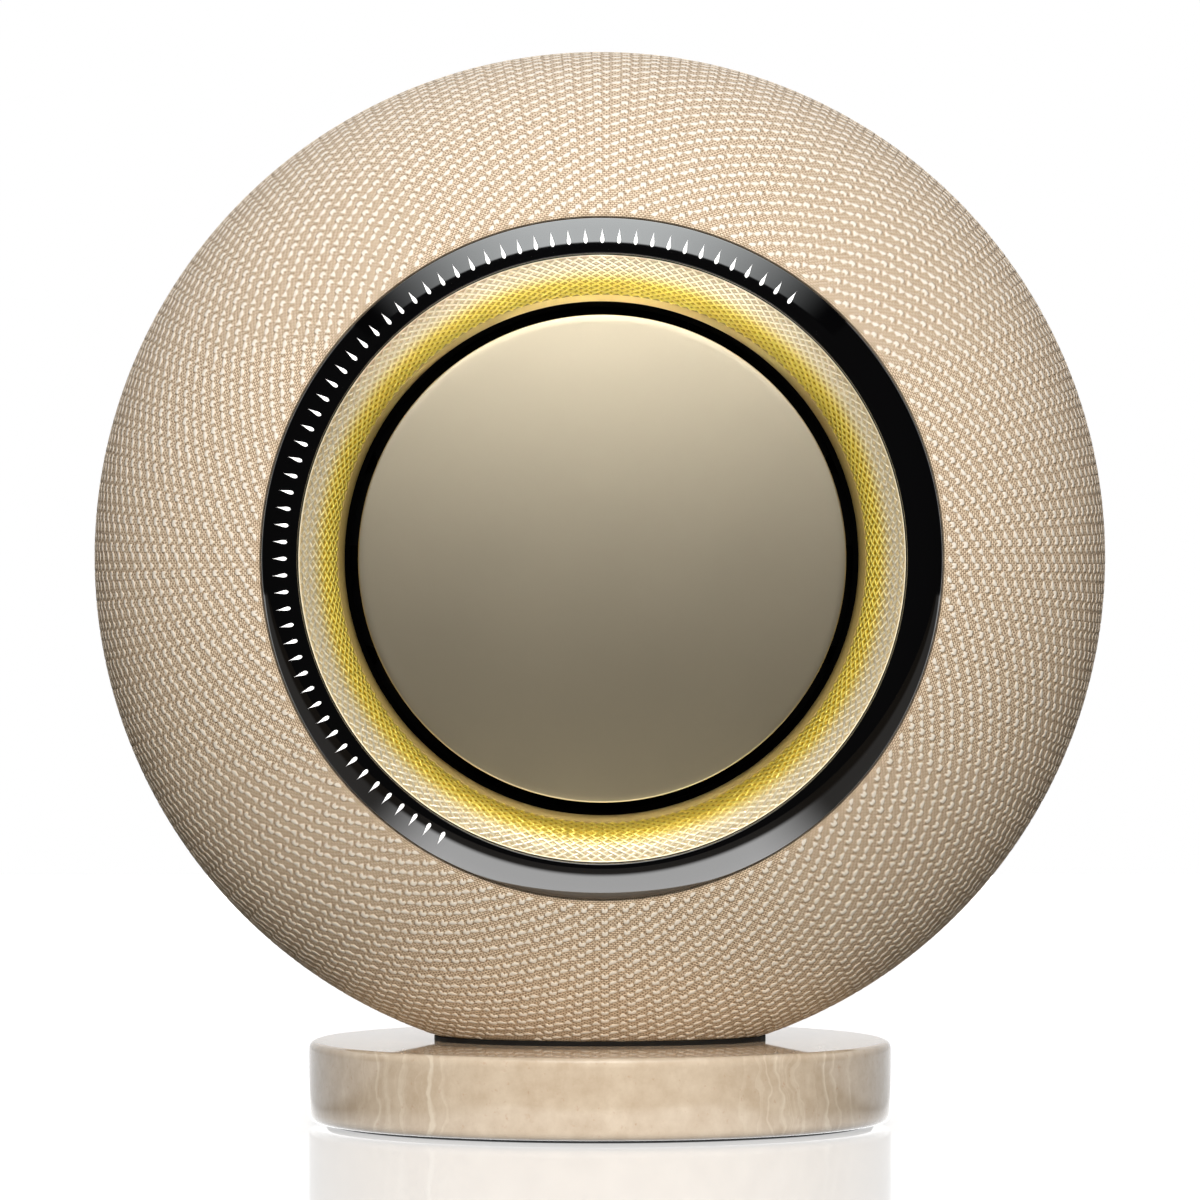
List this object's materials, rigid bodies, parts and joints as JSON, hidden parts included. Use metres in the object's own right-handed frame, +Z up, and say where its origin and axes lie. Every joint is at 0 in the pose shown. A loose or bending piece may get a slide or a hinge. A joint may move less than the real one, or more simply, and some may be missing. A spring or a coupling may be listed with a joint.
{
  "type": "smart speaker",
  "caption": "Round fabric-covered wireless speaker with a turning gloss volume ring, gold mesh roll and satin centre plate, standing on a round stone foot.",
  "frame": {"origin": "middle of the foot's underside, on the surface that the speaker stands on", "axes": "+Z up, -Y towards the listener (the volume ring's axis is along Y), +X to the listener's right"},
  "size_m": [0.32, 0.1846, 0.3394],
  "materials": {
    "stone": "polished travertine, vein-cut",
    "foot_steel": "black powder-coated steel",
    "rubber": "matt black rubber",
    "fasteners": "zinc-plated steel",
    "black_fasteners": "black oxide steel",
    "cast_metal": "die-cast, unpainted",
    "black_casting": "die-cast, black coated",
    "black_aluminium": "black anodised",
    "knit": "tan circular knit with cream floats and dark brown dots",
    "shell_plastic": "moulded shell in the knit's ground colour",
    "gloss_black": "piano-black lacquer",
    "black_plastic": "fine-grained black moulding",
    "bearing_plastic": "natural acetal",
    "light_guide": "clear acrylic, lit white",
    "circuit_board": "green solder mask",
    "gold_mesh": "woven gold wire",
    "gold_bezel": "polished",
    "acoustic_cloth": "fine dark cloth",
    "champagne_metal": "satin bead-blasted, champagne anodised",
    "magnet": "sintered ferrite",
    "soft_iron": "turned, zinc-plated",
    "paper_cone": "coated black pulp",
    "copper": "enamelled copper wire",
    "spider_cloth": "phenolic-treated cotton",
    "dome_silk": "doped black silk",
    "capacitor_can": "dark blue sleeve",
    "transformer_core": "varnished, taped",
    "contact_metal": "nickel-plated"
  },
  "bodies": {
    "cabinet": {"stone_foot": "stone", "foot_plate": "foot_steel", "rubber_ring": "rubber", "foot_bolts": "fasteners", "neck": "rubber", "saddle": "cast_metal", "knit_cover": "knit", "front_shell": "shell_plastic", "rear_shell": "shell_plastic", "seam_gasket": "rubber", "shell_screws": "fasteners", "front_frame": "black_plastic", "frame_screws": "fasteners", "glide_ring": "bearing_plastic", "tick_light_guide": "light_guide", "tick_led_board": "circuit_board", "gold_grille": "gold_mesh", "gold_rim": "gold_bezel", "acoustic_cloth": "acoustic_cloth", "centre_plate": "champagne_metal", "plate_carrier": "black_plastic", "carrier_screws": "fasteners", "sensor_board": "circuit_board", "woofer_chamber": "black_plastic", "inner_screws": "fasteners", "woofer_basket": "black_casting", "woofer_gasket": "rubber", "woofer_magnet": "magnet", "woofer_poles": "soft_iron", "woofer_screws": "black_fasteners", "mid_baskets": "black_plastic", "mid_magnets": "magnet", "tweeter_plates": "black_plastic", "tweeter_domes": "dome_silk", "tweeter_magnets": "magnet", "driver_screws": "black_fasteners", "rear_panel": "black_plastic", "panel_screws": "black_fasteners", "heat_sink": "black_aluminium", "amp_board": "circuit_board", "power_board": "circuit_board", "capacitors": "capacitor_can", "transformer": "transformer_core", "socket_block": "black_plastic", "power_inlet": "black_plastic", "inlet_pins": "contact_metal"},
    "dial": {"dial_ring": "gloss_black", "dial_carrier": "bearing_plastic", "dial_magnet_ring": "magnet"},
    "woofer_mover": {"woofer_cone": "paper_cone", "woofer_dust_cap": "paper_cone", "voice_coil": "copper", "woofer_surround": "rubber", "woofer_spider": "spider_cloth"},
    "mid_mover_left": {"mid_cone_left": "paper_cone", "mid_surround_left": "rubber"},
    "mid_mover_right": {"mid_cone_right": "paper_cone", "mid_surround_right": "rubber"},
    "pair_button": {"pair_button": "black_plastic"},
    "mic_switch": {"mic_switch": "black_plastic"}
  },
  "joints": [
    {"name": "volume_turn", "type": "hinge", "parent": "cabinet", "child": "dial", "pos_m": [0, -0.0738, 0.1794], "axis": [0, 1, 0], "continuous": true},
    {"name": "woofer_travel", "type": "slide", "parent": "cabinet", "child": "woofer_mover", "axis": [0, -1, 0], "range_m": [-0.007, 0.007], "stiffness_N_per_m": 1500, "deforming": ["woofer_surround", "woofer_spider"]},
    {"name": "mid_left_travel", "type": "slide", "parent": "cabinet", "child": "mid_mover_left", "axis": [-0.6967, -0.7174, 0], "range_m": [-0.0025, 0.0025], "stiffness_N_per_m": 500, "deforming": ["mid_surround_left"]},
    {"name": "mid_right_travel", "type": "slide", "parent": "cabinet", "child": "mid_mover_right", "axis": [0.6967, -0.7174, 0], "range_m": [-0.0025, 0.0025], "stiffness_N_per_m": 500, "deforming": ["mid_surround_right"]},
    {"name": "pair_button_press", "type": "slide", "parent": "cabinet", "child": "pair_button", "axis": [0, -1, 0], "range_m": [0, 0.0012], "stiffness_N_per_m": 300},
    {"name": "mic_switch_slide", "type": "slide", "parent": "cabinet", "child": "mic_switch", "axis": [0, 0, 1], "range_m": [0, 0.003]}
  ]
}
